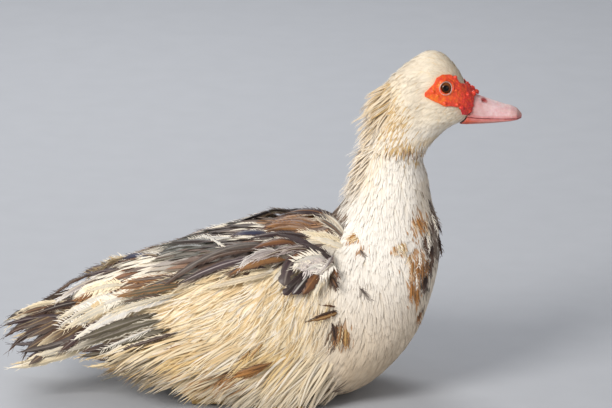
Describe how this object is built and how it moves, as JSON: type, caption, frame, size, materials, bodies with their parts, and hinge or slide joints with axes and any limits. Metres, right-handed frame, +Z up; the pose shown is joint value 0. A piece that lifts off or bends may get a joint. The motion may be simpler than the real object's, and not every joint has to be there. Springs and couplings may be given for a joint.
{
  "type": "muscovy duck model",
  "caption": "Life-size still model of a pied muscovy duck resting on its belly, wings folded and head up.",
  "frame": {"origin": "on the floor, below the middle of the bird's overall length and width", "axes": "+X towards the bill, +Z up, the bird's right side towards -Y"},
  "size_m": [0.4691, 0.19, 0.3163],
  "materials": {
    "head_feathers": "soft matte cream feathers",
    "breast_feathers": "soft matte white feathers",
    "pied_feathers": "satin brown, grey and cream feathers",
    "bare_skin": "bare red skin, slightly moist",
    "bill": "satin horn",
    "eye": "wet gloss",
    "foot_skin": "scaly skin",
    "claw": "satin horn"
  },
  "bodies": {
    "root": {"torso": "breast_feathers", "neck": "breast_feathers", "head": "head_feathers", "face_mask": "bare_skin", "bill_upper": "bill", "bill_lower": "bill", "eye_right": "eye", "eye_left": "eye", "wing_right": "pied_feathers", "wing_left": "pied_feathers", "tail": "pied_feathers", "leg_right": "foot_skin", "leg_left": "foot_skin", "foot_right": "foot_skin", "foot_left": "foot_skin", "claw_inner_right": "claw", "claw_middle_right": "claw", "claw_outer_right": "claw", "claw_inner_left": "claw", "claw_middle_left": "claw", "claw_outer_left": "claw"}
  },
  "joints": []
}
